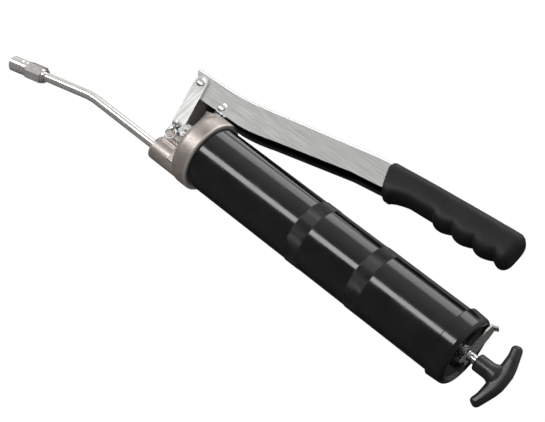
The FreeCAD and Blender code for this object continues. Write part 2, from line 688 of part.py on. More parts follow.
def make_coupler():
    """Hydraulic coupler: hexagonal back part, sleeve, four jaws, seal and spring."""
    back = coupler_body("coupler_body")
    turned(back, "neck", ring("0.1", "coupler_hex - 0.9", "0", "3"))
    grown(back, "hex", hexagon(back, "YZ_Plane", "hex_profile", "coupler_hex", "2.4"),
          "coupler_hex_length")
    turned(back, "thread", ring("0.1", "4.9", "3", "coupler_hex_length + 7"))
    bore = circle(back, "YZ_Plane", "spout_circle", "0", "0", "spout_radius", lift="-1")
    cut(back, "spout_way", bore, "spout_reach - coupler_start + 1", backwards=True)
    bore = circle(back, "YZ_Plane", "grease_circle", "0", "0", "1.5", lift="-1")
    cut(back, "grease_way", bore, "60", backwards=True)

    sleeve = coupler_body("coupler_sleeve")
    low, tip = "coupler_hex_length + 2.5", "coupler_hex_length + 2.5 + coupler_sleeve_length"
    turned(sleeve, "sleeve", [
        (low, "4.9"), (low, "coupler_radius - 0.8"), (low + " + 1.2", "coupler_radius"),
        (tip + " - 14.4", "coupler_radius"), (tip + " - 13.8", "coupler_radius - 0.6"),
        (tip + " - 12.6", "coupler_radius - 0.6"), (tip + " - 12", "coupler_radius"),
        (tip + " - 1.2", "coupler_radius"), (tip, "coupler_radius - 1.2"),
        (tip, "5"), (tip + " - 6", "5.6"), (tip + " - 13", "5.6"), (tip + " - 13", "4.9"),
    ])
    for number in range(JAWS):
        make_jaw(number)
    seal = coupler_body("coupler_seal")
    turned(seal, "seal", ring("1.4", "3.2", tip + " - 13.2", tip + " - 9.4"))
    place = seal.Placement
    spring = coil(0.35, 4.4, 4.4, 3)
    spring.translate(V(cell(tip) - 13.4, 0, 0))
    solid_feature("coupler_spring", spring, place)


def make_jaw(number):
    """One of the four jaws, a quarter ring that grips behind a nipple's head."""
    jaw = coupler_body(f"coupler_jaw_{number + 1}")
    tip = "coupler_hex_length + 2.5 + coupler_sleeve_length"
    profile = outline(jaw, "XZ_Plane", "jaw_profile", [
        (tip + " - 8.6", "mouth_radius"), (tip + " + 0.2", "mouth_radius"), (tip + " + 0.2", "4.4"),
        (tip + " - 6", "5.2"), (tip + " - 8.6", "5.2")])
    quarter = jaw.newObject("PartDesign::Revolution", "quarter")
    quarter.Profile = profile
    quarter.ReferenceAxis = (profile, ["H_Axis"])
    quarter.Angle = 360 / JAWS - JAW_GAP
    settled(quarter)
    quarter_turn = FreeCAD.Rotation(V(1, 0, 0), 360 / JAWS * number)
    jaw.Placement = FreeCAD.Placement(jaw.Placement.Base,
                                      jaw.Placement.Rotation.multiply(quarter_turn))


# ---------------------------------------------------------------- barrel

def make_barrel():
    """Rolled steel barrel in three sections, with a seat for a clip between them."""
    tube = body("barrel_tube")
    front = "collar_x - socket_depth + gasket_thickness"
    back = "cap_x + cap_length - cap_wall - 0.6"
    near, far = "band_centre - band_width / 2", "band_centre + band_width / 2"
    middle, large = "barrel_radius + barrel_step", "barrel_radius + 2 * barrel_step"
    turned(tube, "tube", [
        (front, "barrel_bore"),
        (back, "barrel_bore"),
        (back, large),
        (far, large),
        (far, middle),
        (near, middle),
        (near, "barrel_radius + 0.7 * barrel_step"),
        ("-1 * (" + near + ")", "barrel_radius + 0.7 * barrel_step"),
        ("-1 * (" + near + ")", "barrel_radius + 0.4 * barrel_step"),
        ("-1 * (" + far + ")", "barrel_radius + 0.4 * barrel_step"),
        ("-1 * (" + far + ")", "barrel_radius"),
        (front, "barrel_radius"),
    ])


def make_rear_cap():
    """Back cap threaded on the barrel, with a recessed end and a ledge for the latch."""
    cap = body("rear_cap")
    inner = "barrel_radius + 2 * barrel_step + fit"
    end = "cap_x + cap_length"
    turned(cap, "cap", [
        ("cap_x", inner),
        ("cap_x", "cap_radius - 0.9"),
        ("cap_x + 0.9", "cap_radius"),
        (end + " - 3.4", "cap_radius - 0.8", "4.2"),
        (end, "cap_radius - 4.2"),
        (end, "cap_radius - 5.4"),
        (end + " - cap_recess", "cap_radius - 7.4"),
        (end + " - cap_recess", "6"),
        (end + " - cap_recess - cap_wall", "6"),
        (end + " - cap_recess - cap_wall", "cap_radius - 8.4"),
        (end + " - cap_wall", "cap_radius - 6"),
        (end + " - cap_wall", inner),
    ])
    ledge = outline(cap, "XZ_Plane", "ledge_profile", [
        ("cap_x + cap_length - cap_recess - 0.5", "latch_low_z - 4"),
        ("latch_x + latch_thickness + 2", "latch_low_z - 4"),
        ("latch_x + latch_thickness + 2", "latch_low_z + 2"),
        ("latch_x + latch_thickness + 0.4", "latch_low_z + 2"),
        ("latch_x + latch_thickness + 0.4", "latch_low_z - 0.6"),
        ("cap_x + cap_length - cap_recess - 0.5", "latch_low_z - 0.6"),
    ])
    grown(cap, "latch_ledge", ledge, "9", both_ways=True)


def make_rod_guide():
    guide = body("rod_guide")
    face = "cap_x + cap_length - cap_recess"
    turned(guide, "guide", [
        (face + " - cap_wall - 3", "rod_radius + fit"),
        (face + " + 0.6", "rod_radius + fit"),
        (face + " + 0.6", "6"),
        (face + " - cap_wall", "6"),
        (face + " - cap_wall", "7.6"),
        (face + " - cap_wall - 3", "7.6"),
    ])


def make_latch():
    """Spring-steel thumb plate that grips the rod, and its wave spring."""
    plate = body("latch_plate")
    profile = outline(plate, "YZ_Plane", "plate_profile", [
        ("-7", "latch_low_z"), ("7", "latch_low_z"),
        ("8.5", "latch_low_z + 6"), ("8.5", "latch_top_z - 10"),
        ("6", "latch_top_z - 2", "18"), ("-6", "latch_top_z - 2"),
        ("-8.5", "latch_top_z - 10"), ("-8.5", "latch_low_z + 6")], lift="latch_x")
    grown(plate, "plate", profile, "latch_thickness")
    back = "latch_x + latch_thickness"
    thumb = outline(plate, "XZ_Plane", "thumb_profile", [
        (back + " - 0.5", "latch_top_z - 3.4"),
        (back + " + 3.4", "latch_top_z - 1.6"),
        (back + " + 3.0", "latch_top_z - 0.2"),
        (back + " - 0.5", "latch_top_z - 1.8"),
    ])
    grown(plate, "thumb_tab", thumb, "8", both_ways=True)
    hole = circle(plate, "YZ_Plane", "rod_circle", "0", "0", "rod_radius + 0.6",
                  lift="latch_x - 1")
    cut(plate, "rod_hole", hole, "latch_thickness + 2", backwards=True)
    spring = coil(0.4, 6.9, cell("latch_x - cap_x - cap_length + cap_recess") - 0.1, 2)
    spring.translate(V(cell("cap_x + cap_length - cap_recess") + 0.05, 0, 0))
    solid_feature("latch_spring", spring)


# ---------------------------------------------------------------- rod and follower

def make_rod():
    rod = body("follower_rod")
    turned(rod, "rod", [
        ("rod_front_x", "0"), ("rod_front_x", "2.5"), ("rod_front_x + 6", "2.5"),
        ("rod_front_x + 6", "rod_radius"), ("rod_front_x + 20", "rod_radius"),
        ("rod_front_x + 21", "rod_radius - 1"), ("rod_front_x + 24", "rod_radius - 1"),
        ("rod_front_x + 25", "rod_radius"), ("rod_back_x", "rod_radius"),
        ("rod_back_x", "0")])
    washer = body("catch_washer")
    turned(washer, "washer", ring("2.5 + fit", "11", "rod_front_x + 3.8",
                                  "rod_front_x + 5.8"))
    nut = body("rod_nut", x="rod_front_x + 0.4")
    grown(nut, "nut", hexagon(nut, "YZ_Plane", "nut_profile", "4.5"), "3.2")
    hole = circle(nut, "YZ_Plane", "nut_hole", "0", "0", "2.5", lift="4")
    cut(nut, "nut_bore", hole, "5")


def make_follower():
    """Rubber cup, the steel plate that backs it and the long spring that drives it."""
    cup = body("follower_cup")
    front = "follower_x"
    turned(cup, "cup", [
        (front, "rod_radius + 0.4"), (front + " + 14", "rod_radius + 0.4"),
        (front + " + 14", "22"), (front + " + 6", "22"), (front + " + 6", "24.4"),
        (front + " + 16", "25"), (front + " + 16", "barrel_bore - 0.35"),
        (front + " + 3", "barrel_bore - 0.35"), (front, "24")])
    plate = body("follower_plate")
    turned(plate, "plate", ring("rod_radius + 0.4", "21.5", front + " + 14",
                                front + " + 16"))
    length = cell("cap_x + cap_length - cap_recess - cap_wall - 3 - follower_x - 16") - 1
    spring = coil(FOLLOWER_WIRE, 18, length, FOLLOWER_TURNS)
    spring.translate(V(cell("follower_x") + 16.2, 0, 0))
    solid_feature("follower_spring", spring)


def make_handle():
    """Moulded T-handle whose arms sweep back towards the cap."""
    handle = body("t_handle", turn=FreeCAD.Rotation(V(1, 0, 0), cell("handle_turn")))
    arms = outline(handle, "XZ_Plane", "arms_profile", [
        ("stem_x + 15.5", "-13"),
        ("stem_x + 14.2", "-1 * handle_reach + 3", "-4.2"),
        ("stem_x + 20.8", "-1 * handle_reach + 0.6", "-47"),
        ("stem_x + 20.8", "handle_reach - 0.6", "-4.2"),
        ("stem_x + 14.2", "handle_reach - 3"),
        ("stem_x + 15.5", "13", "-7"),
        ("stem_x + 11", "8"),
        ("stem_x + 11", "-8", "-7"),
    ])
    solid = grown(handle, "arms", arms, "2 * handle_half", both_ways=True)

    def long_way_round(edge):
        return edge.BoundBox.YLength < 0.01

    softened(handle, "rounded", solid, long_way_round, HANDLE_ROUNDING)
    turned(handle, "stem", [
        ("stem_x", "0"), ("stem_x", "stem_radius - 0.8"), ("stem_x + 0.8", "stem_radius"),
        ("stem_x + 20", "stem_radius"), ("stem_x + 24", "0")])
    hole = circle(handle, "YZ_Plane", "rod_circle", "0", "0", "rod_radius", lift="stem_x")
    cut(handle, "rod_hole", hole, "rod_back_x - stem_x", backwards=True)


def check_and_write():
    """Refuse anything that did not build, then write one STEP file for each sub-part."""
    doc.recompute()
    for item in doc.Objects:
        if "Invalid" in item.State or "Error" in item.State:
            raise RuntimeError(f"{item.Label} is in state {item.State}")
    os.makedirs("parts", exist_ok=True)
    for part in subparts:
        shape = part.Shape
        if shape.isNull() or not shape.isValid() or len(shape.Solids) != 1:
            raise RuntimeError(f"{part.Label} is not one valid solid")
        print(f"{part.Label:18s} {shape.Volume:11.1f} mm3")
    for part in subparts:
        part.Shape.exportStep(f"parts/{part.Label}.step")


make_pump_head()
make_gasket()
make_plunger_gland()
make_plunger()
domed_pin("lever_pin", "lever_x", "lever_z", "channel_half + bar_gap + bar_thickness")
domed_pin("plunger_pin", "pump_x", "drive_z", "channel_half")
make_link_pin()
make_pin_ring()
make_bleed_valve()
make_check_valve()
link_bar("link_bar_near", -1)
link_bar("link_bar_far", 1)
make_lever()
make_grip()
make_spout()
make_coupler()
make_barrel()
make_rear_cap()
make_rod_guide()
make_latch()
make_rod()
make_follower()
make_handle()
check_and_write()
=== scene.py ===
import json
import math

import bmesh
import bpy
from mathutils import Matrix, Vector


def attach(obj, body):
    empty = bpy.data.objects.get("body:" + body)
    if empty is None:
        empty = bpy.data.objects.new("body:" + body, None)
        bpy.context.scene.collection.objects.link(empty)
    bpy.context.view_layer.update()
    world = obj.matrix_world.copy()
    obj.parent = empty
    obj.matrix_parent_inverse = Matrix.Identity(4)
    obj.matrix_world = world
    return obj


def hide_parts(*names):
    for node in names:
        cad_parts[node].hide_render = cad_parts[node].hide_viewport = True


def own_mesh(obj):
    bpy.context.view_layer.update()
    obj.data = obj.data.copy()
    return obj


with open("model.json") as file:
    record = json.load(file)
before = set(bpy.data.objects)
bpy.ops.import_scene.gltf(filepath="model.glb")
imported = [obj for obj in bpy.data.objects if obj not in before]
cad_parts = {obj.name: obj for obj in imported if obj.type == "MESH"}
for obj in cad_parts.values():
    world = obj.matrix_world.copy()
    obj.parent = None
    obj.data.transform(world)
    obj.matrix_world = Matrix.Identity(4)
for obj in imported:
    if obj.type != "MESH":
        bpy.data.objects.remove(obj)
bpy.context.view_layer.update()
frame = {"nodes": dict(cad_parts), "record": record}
nodes = frame["nodes"]
MM = 0.001


# ------------------------------------------------------------------ camera

AZIMUTH = math.radians(25.62)
ELEVATION = math.radians(-11.99)
ROLL = math.radians(-43.28)
DISTANCE = 1.2012
LENS = 100.7
SENSOR = 36
NEAR, FAR = 0.05, 50
TARGET = Vector((0.0025, 0, 0))
ASIDE = 0.0577
BELOW = 0.0392


def make_camera():
    """The camera looks slightly up at the gun's near side, and is rolled so that the gun
    lies diagonally in the frame. Returns the direction from the gun to the camera."""
    back = Vector((math.sin(AZIMUTH) * math.cos(ELEVATION),
                   -math.cos(AZIMUTH) * math.cos(ELEVATION), math.sin(ELEVATION)))
    level = Vector((math.cos(AZIMUTH), math.sin(AZIMUTH), 0))
    upright = back.cross(level)
    right = level * math.cos(ROLL) - upright * math.sin(ROLL)
    up = level * math.sin(ROLL) + upright * math.cos(ROLL)
    place = TARGET + back * DISTANCE - right * ASIDE + up * BELOW
    data = bpy.data.cameras.new("camera")
    data.lens = LENS
    data.sensor_width = SENSOR
    data.clip_start, data.clip_end = NEAR, FAR
    camera = bpy.data.objects.new("camera", data)
    bpy.context.scene.collection.objects.link(camera)
    turn = Matrix((right, up, back)).transposed()
    camera.matrix_world = Matrix.Translation(place) @ turn.to_4x4()
    bpy.context.scene.camera = camera
    return back


BACK = make_camera()


# ------------------------------------------------------------------ materials

RIM_X = -0.1495
RIM_BLUR = 0.0004
RIM_COLOUR = (0.55, 0.52, 0.49)
# The dark colour painted on steel faces that look towards the middle plane y = 0, as painted
# shade between the parts.
PAINTED_SHADE_COLOUR = (0.05, 0.047, 0.045)
MIX_FIRST, MIX_SECOND, MIX_RESULT = 6, 7, 2


class Surface:
    """A node material with short ways to add noise, ramps and bumps to it."""

    def __init__(self, name, colour, metallic, roughness, **sockets):
        self.material = bpy.data.materials.new(name)
        self.material.use_nodes = True
        self.tree = self.material.node_tree
        self.shader = self.tree.nodes["Principled BSDF"]
        self.set("Base Color", (*colour, 1))
        self.set("Metallic", metallic)
        self.set("Roughness", roughness)
        for socket, value in sockets.items():
            self.set(socket.replace("_", " "), value)
        self.place = self.node("ShaderNodeTexCoord").outputs["Object"]
        self.normal = None

    def node(self, kind, inputs=(), **settings):
        made = self.tree.nodes.new(kind)
        for key, value in settings.items():
            setattr(made, key, value)
        for key, value in dict(inputs).items():
            if isinstance(value, bpy.types.NodeSocket):
                self.tree.links.new(value, made.inputs[key])
            else:
                made.inputs[key].default_value = value
        return made

    def set(self, socket, value):
        if isinstance(value, bpy.types.NodeSocket):
            self.tree.links.new(value, self.shader.inputs[socket])
        else:
            self.shader.inputs[socket].default_value = value

    def noise(self, scale, detail, stretch=(1, 1, 1)):
        """Noise with about one feature per 1/scale metres, longer along a small stretch."""
        mapped = self.node("ShaderNodeMapping", {"Vector": self.place, "Scale": stretch})
        return self.node("ShaderNodeTexNoise", {
            "Vector": mapped.outputs[0], "Scale": scale, "Detail": detail,
            "Roughness": 0.55}).outputs[0]

    def between(self, value, low, high, start=0.3, end=0.7):
        """A value from low to high as the noise goes from start to end."""
        return self.node("ShaderNodeMapRange", {
            "Value": value, "From Min": start, "From Max": end, "To Min": low,
            "To Max": high}).outputs[0]

    def blend(self, value, first, second):
        """A colour from first to second as the value goes from 0 to 1. The first may be
        another node's colour."""
        start = first if isinstance(first, bpy.types.NodeSocket) else (*first, 1)
        made = self.node("ShaderNodeMix", {"Factor": value, MIX_FIRST: start,
                                           MIX_SECOND: (*second, 1)}, data_type="RGBA")
        return made.outputs[MIX_RESULT]

    def painted_inner_shade(self, colour):
        """The colour, with painted shade: darkened on faces that look towards the middle
        plane y = 0, where the parts shade each other.
        """
        coords = self.node("ShaderNodeTexCoord")
        sides = [self.node("ShaderNodeSeparateXYZ", {"Vector": coords.outputs[kind]})
                 for kind in ("Object", "Normal")]
        facing = self.node("ShaderNodeMath", {0: sides[0].outputs[1],
                                              1: sides[1].outputs[1]},
                           operation="MULTIPLY").outputs[0]
        inner = self.between(facing, 1, 0, -0.004, -0.002)
        return self.blend(inner, colour, PAINTED_SHADE_COLOUR)

    def bump(self, height, strength, distance):
        """Add a bump on top of any earlier one."""
        inputs = {"Height": height, "Strength": strength, "Distance": distance}
        if self.normal:
            inputs["Normal"] = self.normal
        self.normal = self.node("ShaderNodeBump", inputs).outputs[0]
        self.set("Normal", self.normal)


def cast_metal():
    """Die-cast housing: warm grey with a sandy skin, and a brighter machined rim."""
    made = Surface("cast_metal", (0.33, 0.295, 0.275), 0.8, 0.42)
    blotch = made.noise(70, 3)
    grain = made.noise(900, 2)
    along = made.node("ShaderNodeSeparateXYZ", {"Vector": made.place}).outputs[0]
    rim = made.between(along, 0, 1, RIM_X - RIM_BLUR, RIM_X + RIM_BLUR)
    skin_colour = made.blend(made.between(blotch, 0, 1), (0.27, 0.24, 0.22),
                             (0.38, 0.34, 0.315))
    made.set("Base Color", made.blend(rim, skin_colour, RIM_COLOUR))
    made.set("Roughness", made.between(grain, 0.36, 0.52))
    made.bump(grain, 0.22, 0.0003)
    made.bump(made.noise(260, 3), 0.12, 0.0006)
    return made.material


def brushed(name, colour, dark, rough, stretch, mottle=40.0):
    """Plated steel with fine brush lines along one direction, cloudy patches, and painted
    shade on faces that look towards the middle plane.
    """
    made = Surface(name, colour, 1.0, rough)
    cloud = made.noise(mottle, 4, (0.6, 1, 1))
    lines = made.noise(900, 3, stretch)
    plate = made.blend(made.between(cloud, 0, 1), dark, colour)
    # painted shade: steel faces that look towards the middle plane y = 0 are darkened
    made.set("Base Color", made.painted_inner_shade(plate))
    both = made.node("ShaderNodeMath", {0: made.between(lines, -0.05, 0.06),
                                        1: made.between(cloud, rough + 0.08, rough - 0.05)})
    made.set("Roughness", both.outputs[0])
    made.bump(lines, 0.10, 0.00002)
    made.bump(made.noise(60, 2), 0.10, 0.0003)
    return made.material


def nickel_plate():
    """Bright plating, a little cloudy."""
    made = Surface("nickel_plate", (0.80, 0.775, 0.745), 0.9, 0.13)
    fine = made.noise(1400, 2)
    made.set("Roughness", made.between(made.noise(90, 4), 0.10, 0.22))
    made.set("Base Color", made.blend(made.between(made.noise(150, 3), 0, 1),
                                      (0.70, 0.68, 0.65), (0.84, 0.82, 0.79)))
    made.bump(fine, 0.05, 0.00001)
    return made.material


def gloss_paint():
    """Black enamel with a slight orange peel and a few faint dull patches."""
    made = Surface("gloss_paint", (0.004, 0.004, 0.0042), 0.0, 0.14)
    haze = made.noise(55, 5)
    made.set("Roughness", made.between(haze, 0.10, 0.19))
    made.set("Base Color", made.blend(made.between(haze, 0, 1), (0.0028, 0.0028, 0.003),
                                      (0.0055, 0.0055, 0.006)))
    made.bump(made.noise(260, 2), 0.10, 0.00018)
    return made.material


def band_paint():
    """The same enamel where it has settled in the knurls, duller on the crests."""
    made = Surface("band_paint", (0.006, 0.006, 0.0063), 0.0, 0.3,
                   Specular_IOR_Level=0.25)
    rub = made.noise(120, 3)
    made.set("Roughness", made.between(rub, 0.20, 0.34))
    made.set("Base Color", made.blend(made.between(rub, 0, 1), (0.0045, 0.0045, 0.0048),
                                      (0.009, 0.009, 0.0095)))
    made.bump(made.noise(700, 2), 0.06, 0.00006)
    return made.material


def grip_rubber():
    """Matte moulded rubber with a fine pebbled skin and a little dust."""
    made = Surface("grip_rubber", (0.013, 0.013, 0.0128), 0.0, 0.55, Specular_IOR_Level=0.22)
    skin = made.node("ShaderNodeTexVoronoi", {"Vector": made.place, "Scale": 1300})
    dust = made.noise(45, 4)
    made.set("Base Color", made.blend(made.between(dust, 0, 1), (0.0035, 0.0035, 0.0035),
                                      (0.0085, 0.0083, 0.008)))
    made.set("Roughness", made.between(dust, 0.42, 0.62))
    made.bump(skin.outputs["Distance"], 0.22, 0.00025)
    return made.material


def handle_plastic():
    """Black moulded plastic, smoother than the grip."""
    made = Surface("handle_plastic", (0.014, 0.014, 0.0145), 0.0, 0.34)
    fine = made.noise(1100, 2)
    haze = made.noise(80, 3)
    made.set("Roughness", made.between(haze, 0.27, 0.42))
    made.set("Base Color", made.blend(made.between(haze, 0, 1), (0.006, 0.006, 0.0063),
                                      (0.011, 0.011, 0.0114)))
    made.bump(fine, 0.10, 0.00012)
    return made.material


def seal_rubber():
    """Dark grey rubber."""
    made = Surface("seal_rubber", (0.022, 0.022, 0.022), 0.0, 0.5)
    made.set("Roughness", made.between(made.noise(200, 3), 0.42, 0.6))
    made.set("Base Color", made.blend(made.between(made.noise(90, 3), 0, 1),
                                      (0.015, 0.015, 0.015), (0.03, 0.029, 0.028)))
    made.bump(made.noise(800, 2), 0.08, 0.0001)
    return made.material


ALONG_X = (0.04, 1, 1)
ROUND_X = (1, 0.05, 0.05)
ALL_WAYS = (1, 1, 1)
LEVER_STEEL = brushed("lever_steel", (0.80, 0.795, 0.78), (0.50, 0.495, 0.48), 0.26,
                      ALONG_X, 22.0)
ZINC_STEEL = brushed("zinc_steel", (0.78, 0.78, 0.77), (0.60, 0.60, 0.59), 0.24, ALL_WAYS)
BAR_STEEL = brushed("bar_steel", (0.80, 0.80, 0.79), (0.66, 0.66, 0.65), 0.30, (1, 1, 0.05))
GROUND_STEEL = brushed("ground_steel", (0.70, 0.70, 0.71), (0.60, 0.60, 0.61), 0.16, ROUND_X)
SPRING_WIRE = brushed("spring_wire", (0.66, 0.66, 0.67), (0.52, 0.52, 0.53), 0.22, ALL_WAYS)
NICKEL = nickel_plate()
CAST = cast_metal()
PAINT = gloss_paint()
BAND_PAINT = band_paint()
GRIP_RUBBER = grip_rubber()
HANDLE_PLASTIC = handle_plastic()
SEAL_RUBBER = seal_rubber()

FINISH = {
    "cast_metal": CAST, "zinc_steel": ZINC_STEEL, "ground_steel": GROUND_STEEL,
    "spring_wire": SPRING_WIRE, "nickel_plate": NICKEL, "gloss_paint": PAINT,
    "grip_rubber": GRIP_RUBBER, "seal_rubber": SEAL_RUBBER,
    "handle_plastic": HANDLE_PLASTIC,
}
OWN_FINISH = {"lever_channel": LEVER_STEEL, "link_bar_near": BAR_STEEL,
              "link_bar_far": BAR_STEEL}


def paint(thing, material):
    """Give the whole piece one material."""
    thing.data.materials.clear()
    thing.data.materials.append(material)


for part in frame["record"]["subparts"]:
    name = part["node"]
    paint(nodes[name], OWN_FINISH.get(name, FINISH[part["material_slot"]]))


# ------------------------------------------------------------------ mesh helpers

def piece(name, verts, faces, body, material, smooth=True):
    """A new visible piece, in millimetres, that rides on a CAD body."""
    mesh = bpy.data.meshes.new(name)
    mesh.from_pydata([Vector(v) * MM for v in verts], [], faces)
    mesh.validate()
    tidy = bmesh.new()
    tidy.from_mesh(mesh)
    bmesh.ops.recalc_face_normals(tidy, faces=tidy.faces)
    tidy.to_mesh(mesh)
    tidy.free()
    for polygon in mesh.polygons:
        polygon.use_smooth = smooth
    made = bpy.data.objects.new(name, mesh)
    bpy.context.scene.collection.objects.link(made)
    paint(made, material)
    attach(made, body)
    return made


def skin(rings, close_start=True, close_end=True):
    """Vertices and faces of a skin over rings of equally many points."""
    verts, faces = [], []
    count = len(rings[0])
    for ring in rings:
        verts.extend(ring)
    for r in range(len(rings) - 1):
        for k in range(count):
            a, b = r * count + k, r * count + (k + 1) % count
            faces.append((a, b, b + count, a + count))
    if close_start:
        faces.append(tuple(range(count))[::-1])
    if close_end:
        faces.append(tuple(range((len(rings) - 1) * count, len(rings) * count)))
    return verts, faces


def applied(thing):
    """Turn the piece's modifiers into its mesh."""
    graph = bpy.context.evaluated_depsgraph_get()
    mesh = bpy.data.meshes.new_from_object(thing.evaluated_get(graph))
    thing.modifiers.clear()
    thing.data = mesh
    for polygon in mesh.polygons:
        polygon.use_smooth = True


def softened(thing, voxel, rounds):
    """Rebuild the mesh as one skin and let its corners flow into each other."""
    remesh = thing.modifiers.new("skin", "REMESH")
    remesh.mode = "VOXEL"
    remesh.voxel_size = voxel
    smooth = thing.modifiers.new("soft", "SMOOTH")
    smooth.factor = 0.5
    smooth.iterations = rounds
    applied(thing)


# ------------------------------------------------------------------ pump head

CASTING_VOXEL = 0.45 * MM
CASTING_ROUNDS = 5


def make_casting():
    """The pump head with the soft corners of a die casting."""
    mesh = nodes["pump_head"].data.copy()
    made = bpy.data.objects.new("head_casting", mesh)
    bpy.context.scene.collection.objects.link(made)
    softened(made, CASTING_VOXEL, CASTING_ROUNDS)
    paint(made, CAST)
    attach(made, "head")
    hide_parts("pump_head")


# ------------------------------------------------------------------ knurled bands

RIDGES = 132
RIDGE_HEIGHT = 0.36
RIDGE_POINTS = 6
BAND_DEPTH = 0.4
BAND_LIFT = 0.03
BAND_WIDTH = 14.5


def make_band(name, centre, radius):
    """A band of fine straight knurls that fade out at both rims."""
    count = RIDGES * RIDGE_POINTS
    rings = []
    for share, height in ((-1, 0), (-0.95, 0.35), (-0.87, 1), (0.87, 1), (0.95, 0.35),
                          (1, 0)):
        ring = []
        for k in range(count):
            angle = 2 * math.pi * k / count
            wave = 0.5 + 0.5 * math.cos(RIDGES * angle)
            r = radius + BAND_LIFT + height * RIDGE_HEIGHT * (0.25 + 0.75 * wave ** 0.7)
            ring.append((centre + share * BAND_WIDTH / 2, r * math.cos(angle),
                         r * math.sin(angle)))
        rings.append(ring)
    bore = radius - BAND_DEPTH
    for share in (1, -1):
        rings.append([(centre + share * BAND_WIDTH / 2, y * bore / math.hypot(y, z),
                       z * bore / math.hypot(y, z))
                      for _, y, z in rings[0]])
    verts, faces = skin(rings + [rings[0]], False, False)
    last = len(rings) * count
    faces = [tuple(v - last if v >= last else v for v in face) for face in faces]
    piece(name, verts[:last], faces, "barrel", BAND_PAINT, False)


# ------------------------------------------------------------------ lever grip

GRIP_FRONT = -20.0
GRIP_END = 105.0
GRIP_HALF = 13.2
GRIP_TOP = 88.6
SQUARENESS = 3.0
GRIP_POINTS = 64
GRIP_STEPS = 150
NOSE_LENGTH = 1.6
NOSE = ((0.9, 0.80), (0.1, 0.86), (0.0, 0.93), (0.5, 0.975), (NOSE_LENGTH, 1.0))
END_RIM = 7.0
END_STEPS = 15
END_NARROWING = 0.45

GUARD_X, GUARD_BOTTOM = -10, 59.0
PALM_X, PALM_BOTTOM = 10, 66.6
VALLEYS = (33.5, 52.0, 72.0, 91.5)
VALLEY_BOTTOM = 68.5
VALLEY_RISE = 4.0
GROOVE = 3.4
LAST_RUN = 8

LEAN_LENGTH = 25
LEAN_TOP = 80
LEAN = 0.42


def grip_top(x):
    """Upper line of the grip, slightly arched."""
    share = (x - GRIP_FRONT) / (GRIP_END - GRIP_FRONT)
    return GRIP_TOP + 14.9 * share - 2.0 * share ** 2


def grip_bottom(x):
    """Lower line of the grip: guard, straight run, then the finger bulges."""
    if x < GUARD_X:
        return GUARD_BOTTOM
    if x < PALM_X:
        share = (x - GUARD_X) / (PALM_X - GUARD_X)
        return GUARD_BOTTOM + (PALM_BOTTOM - GUARD_BOTTOM) * share ** 0.8
    if x < VALLEYS[0]:
        share = (x - PALM_X) / (VALLEYS[0] - PALM_X)
        return PALM_BOTTOM + (VALLEY_BOTTOM - PALM_BOTTOM) * share
    along = (x - VALLEYS[0]) / (VALLEYS[-1] - VALLEYS[0])
    line = VALLEY_BOTTOM + VALLEY_RISE * along
    for low, high in zip(VALLEYS, VALLEYS[1:]):
        if x <= high:
            share = (x - low) / (high - low)
            return line - GROOVE * math.sin(math.pi * share ** 0.8) ** 0.85
    share = min(1, (x - VALLEYS[-1]) / LAST_RUN)
    return line - GROOVE * math.sin(math.pi / 2 * share) ** 0.9


def grip_ring(x, scale=1.0):
    """One rounded-rectangle section of the grip; scale shrinks it about its middle. Near the
    front, the lower part leans back."""
    top, bottom = grip_top(x), grip_bottom(x)
    middle, half = (top + bottom) / 2, (top - bottom) / 2
    slant = max(0.0, 1 - (x - GRIP_FRONT) / LEAN_LENGTH) ** 1.5
    ring = []
    for k in range(GRIP_POINTS):
        angle = 2 * math.pi * k / GRIP_POINTS
        c, s = math.cos(angle), math.sin(angle)
        y = math.copysign(abs(c) ** (2 / SQUARENESS), c) * GRIP_HALF * scale
        z = middle + math.copysign(abs(s) ** (2 / SQUARENESS), s) * half * scale
        lean = max(0.0, LEAN_TOP - z) * LEAN * slant
        ring.append((x + lean, y, z))
    return ring


def make_grip():
    """The grip: a rounded nose, the long body, and a rounded end."""
    rings = [grip_ring(GRIP_FRONT + ahead, scale) for ahead, scale in NOSE]
    start = GRIP_FRONT + NOSE_LENGTH
    stop = GRIP_END - END_RIM
    for k in range(1, GRIP_STEPS + 1):
        rings.append(grip_ring(start + (stop - start) * k / GRIP_STEPS))
    for k in range(1, END_STEPS):
        turn = math.pi / 2 * k / END_STEPS
        ring = grip_ring(stop, 1 - END_NARROWING * (1 - math.cos(turn)))
        rings.append([(x + END_RIM * math.sin(turn), y, z) for x, y, z in ring])
    verts, faces = skin(rings)
    made = piece("grip_moulding", verts, faces, "lever", GRIP_RUBBER)
    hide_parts("lever_grip")


# ------------------------------------------------------------------ T-handle

HANDLE_TURN = math.radians(7)
HANDLE_VOXEL = 0.4 * MM
HANDLE_ROUNDS = 10
ARM_HALF = 5.4
TUBE_SIDES = 40


def tube(path):
    """Rings of a tube along points (x, z, radius, depth as a share of the radius)."""
    across = Vector((0, 1, 0))
    rings = []
    for number, (x, z, radius, depth) in enumerate(path):
        before = path[max(0, number - 1)]
        after = path[min(len(path) - 1, number + 1)]
        along = Vector((after[0] - before[0], 0, after[1] - before[1])).normalized()
        other = along.cross(across)
        ring = []
        for k in range(TUBE_SIDES):
            angle = 2 * math.pi * k / TUBE_SIDES
            ring.append(Vector((x, 0, z)) + across * radius * depth * math.cos(angle)
                        + other * radius * math.sin(angle))
        rings.append(ring)
    return rings


